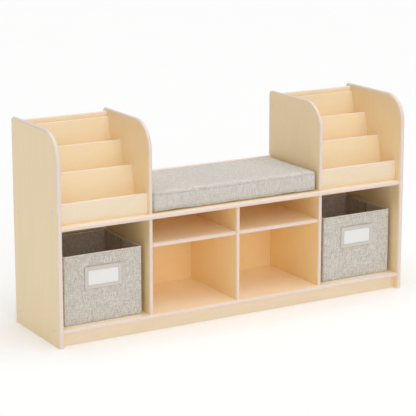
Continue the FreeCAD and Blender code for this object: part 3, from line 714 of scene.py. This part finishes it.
def bin_stitching(name, node, outline, outer, material):
    """Stitches under the binding, round the foot and beside each fold line."""
    low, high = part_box(node)
    points, faces = [], []
    count = len(outline)
    for drop in (7.5 * MM, 201 * MM):
        level = min(range(len(outer)), key=lambda k: abs(outer[k][0].z - (high.z - drop)))
        spaced = outer[level]
        for index in range(0, count, 2):
            here, ahead = spaced[index], spaced[(index + 1) % count]
            outward = Vector((outline[index][2], outline[index][3], 0))
            along = (ahead - here).normalized()
            add_stitch(points, faces, (here + ahead) / 2, along, outward, 3.4 * MM, 1.1 * MM)
    middle = (low.y + high.y) / 2
    for side in (-1, 1):
        for beside in (-4.5 * MM, 4.5 * MM):
            choice = [i for i, (x, y, out_x, _) in enumerate(outline) if out_x * side > 0.99]
            column = min(choice, key=lambda i: abs(outline[i][1] - middle - beside))
            for step in range(38):
                z = low.z + 10 * MM + step * 5 * MM
                if z > high.z - 9 * MM:
                    continue
                level = min(range(len(outer)), key=lambda k: abs(outer[k][0].z - z))
                place = outer[level][column].copy()
                place.z = z
                add_stitch(points, faces, place, Vector((0, 0, 1)), Vector((side, 0, 0)), 3.4 * MM, 0.9 * MM)
    return new_piece(name, points, faces, material)


def fold_seams(hand, node, material):
    """Seams up the inside of the two side walls, where the bin folds flat, coloured near black as painted
    shade of the fold crease.
    """
    low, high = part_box(node)
    middle, tall = (low.y + high.y) / 2, high.z - low.z
    seams = []
    for side, x, inward_sign in (("left", low.x, 1), ("right", high.x, -1)):
        path = []
        for step in range(25):
            height = 0.03 + step * 0.95 / 24
            inward = WALL + wall_offset(0.5, height, high.y - low.y, True) - 0.6 * MM
            path.append(Vector((x + inward_sign * inward, middle, low.z + height * tall)))
        seams.append(tube(f"{hand}_bin_{side}_fold_seam", path, 1.6 * MM, material, sides=10, closed=False))
    return seams


def holder_frame(name, node, material):
    """A flat frame with a raised border and a lip round its window, open along its top for the card."""
    low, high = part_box(node)
    window = Vector((98, 43)) * MM
    drop = 13 * MM
    middle = (low.x + high.x) / 2
    width, height = high.x - low.x, high.z - low.z
    window_low = Vector((middle - window.x / 2, high.z - drop - window.y))
    window_high = Vector((middle + window.x / 2, high.z - drop))

    def ring(share, radius, front):
        """One closed ring from the frame's outline (share 0) to its window (share 1)."""
        ring_low = Vector((low.x, low.z)).lerp(window_low, share)
        ring_high = Vector((high.x, high.z)).lerp(window_high, share)
        return [Vector((x, front, z)) for x, z, _, _ in rounded_outline(ring_low, ring_high, radius, 6, 10)]

    front, back = low.y, high.y
    profile = ((0.0, 4.0, back), (0.0, 4.0, front + 1.1 * MM), (0.03, 3.8, front + 0.35 * MM),
               (0.08, 3.6, front),
               (0.20, 3.2, front), (0.25, 3.0, front + 0.9 * MM), (0.78, 1.8, front + 0.9 * MM),
               (0.83, 1.6, front + 0.1 * MM), (0.92, 1.4, front), (0.98, 1.2, front + 0.3 * MM),
               (1.0, 1.1, front + 1.2 * MM))
    rings = [ring(share, radius * MM, y) for share, radius, y in profile]
    count = len(rings[0])
    points = [point for one in rings for point in one]
    faces = []
    for level in range(len(rings) - 1):
        for index in range(count):
            here, there, nxt = level * count, (level + 1) * count, (index + 1) % count
            if level == 0 and min(rings[0][index].z, rings[0][nxt].z) > high.z - 0.01 * MM:
                continue
            faces.append((here + index, here + nxt, there + nxt, there + index))
    return new_piece(name, points, faces, material)


def make_bin(hand, cloths, thread, crease_painted_shade, holder, card):
    node, body = f"{hand}_bin_body", f"{hand}_bin"
    shell, outline, outer = bin_shell(f"{hand}_bin_shell", node, cloths)
    binding = rim_binding(f"{hand}_bin_binding", node, outline, cloths["binding"])
    stitches = bin_stitching(f"{hand}_bin_stitches", node, outline, outer, thread)
    seams = fold_seams(hand, node, crease_painted_shade)
    frame_piece = holder_frame(f"{hand}_label_frame", f"{hand}_label_holder", holder)
    for piece in (shell, binding, stitches, frame_piece, *seams):
        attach(piece, body)
    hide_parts(node)
    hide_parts(f"{hand}_label_holder")
    # the base board takes the lining cloth, whose dark tone is partly painted shade
    set_material(nodes[f"{hand}_bin_base_board"], cloths["lining_painted_shade"])
    set_material(nodes[f"{hand}_label_card"], card)


def make_holder_material():
    shade = Shade("label_holder", roughness=0.62, specular=0.35)
    weave = shade.noise(shade.place, 1400.0, 3, 0.6)
    shade.colour(shade.blend(weave, (0.585, 0.545, 0.49), (0.67, 0.63, 0.575)))
    shade.bump(weave, 0.00008)
    return shade.material


def make_card_material():
    shade = Shade("label_card", roughness=0.6, specular=0.3)
    pulp = shade.noise(shade.place, 700.0, 4, 0.6)
    shade.colour(shade.blend(pulp, (0.78, 0.78, 0.775), (0.83, 0.83, 0.825)))
    shade.bump(pulp, 0.00004)
    return shade.material


make_camera()
make_studio()
make_floor()
finish_boards()
finish_fasteners()
cloths = make_cloths()
make_cushion(cloths)
thread = thread_material("bin_thread", (0.74, 0.69, 0.61))
# near-black cord colour: painted shade in the fold crease
crease_painted_shade = thread_material("bin_fold_painted_shade", (0.17, 0.135, 0.105))
holder, card = make_holder_material(), make_card_material()
for hand in HANDS:
    make_bin(hand, cloths, thread, crease_painted_shade, holder, card)
